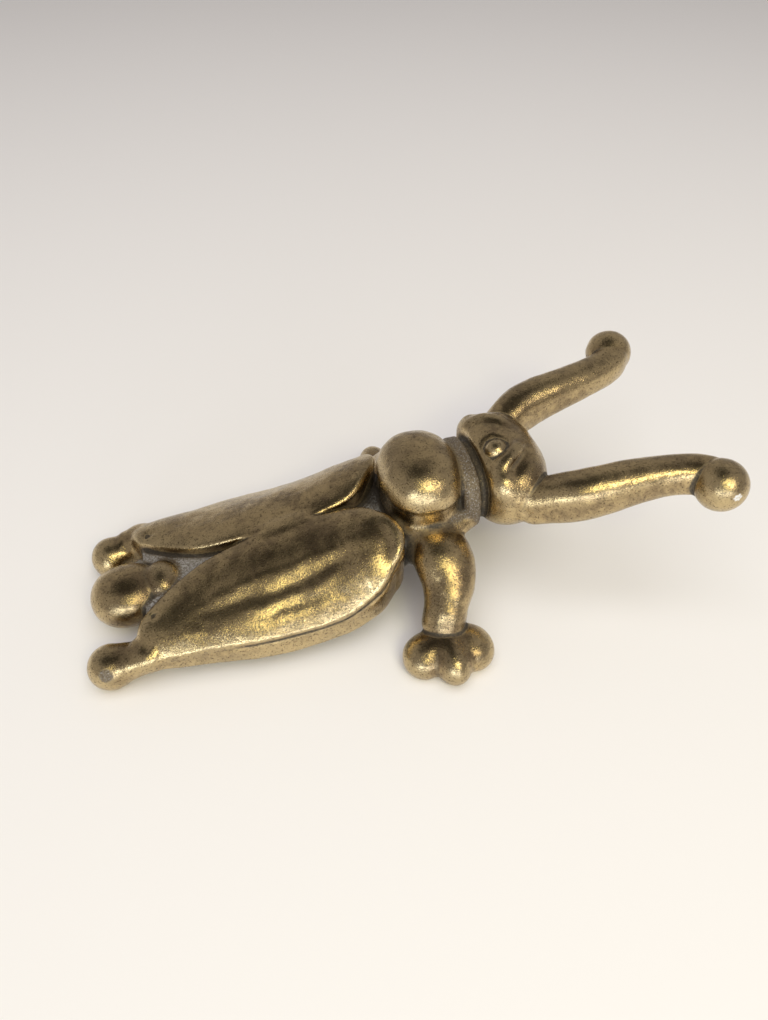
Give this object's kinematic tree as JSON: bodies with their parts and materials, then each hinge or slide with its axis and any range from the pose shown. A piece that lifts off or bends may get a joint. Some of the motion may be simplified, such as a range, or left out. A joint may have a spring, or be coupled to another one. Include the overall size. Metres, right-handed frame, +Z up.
{
  "type": "boot jack",
  "caption": "Cast brass cricket-shaped boot jack: folded wings over a hollow belly, stout feet, and two antennae forming a raised fork for a boot heel.",
  "frame": {"origin": "centre of the bounding box, on the floor plane", "axes": "+X towards the antennae, +Y to the insect's left, +Z up from the floor"},
  "size_m": [0.2565, 0.1412, 0.0725],
  "materials": {
    "cast_brass": "aged, hand-worn cast brass with dark patina in the recesses"
  },
  "bodies": {
    "root": {"body_shell": "cast_brass", "tail_lobe": "cast_brass", "thorax": "cast_brass", "shoulder_plate": "cast_brass", "neck_band": "cast_brass", "head": "cast_brass", "right_wing": "cast_brass", "left_wing": "cast_brass", "right_hind_foot": "cast_brass", "left_hind_foot": "cast_brass", "right_antenna": "cast_brass", "left_antenna": "cast_brass", "right_antenna_tip": "cast_brass", "left_antenna_tip": "cast_brass", "right_front_leg": "cast_brass", "left_front_leg": "cast_brass", "right_front_foot": "cast_brass", "left_front_foot": "cast_brass"}
  },
  "joints": []
}
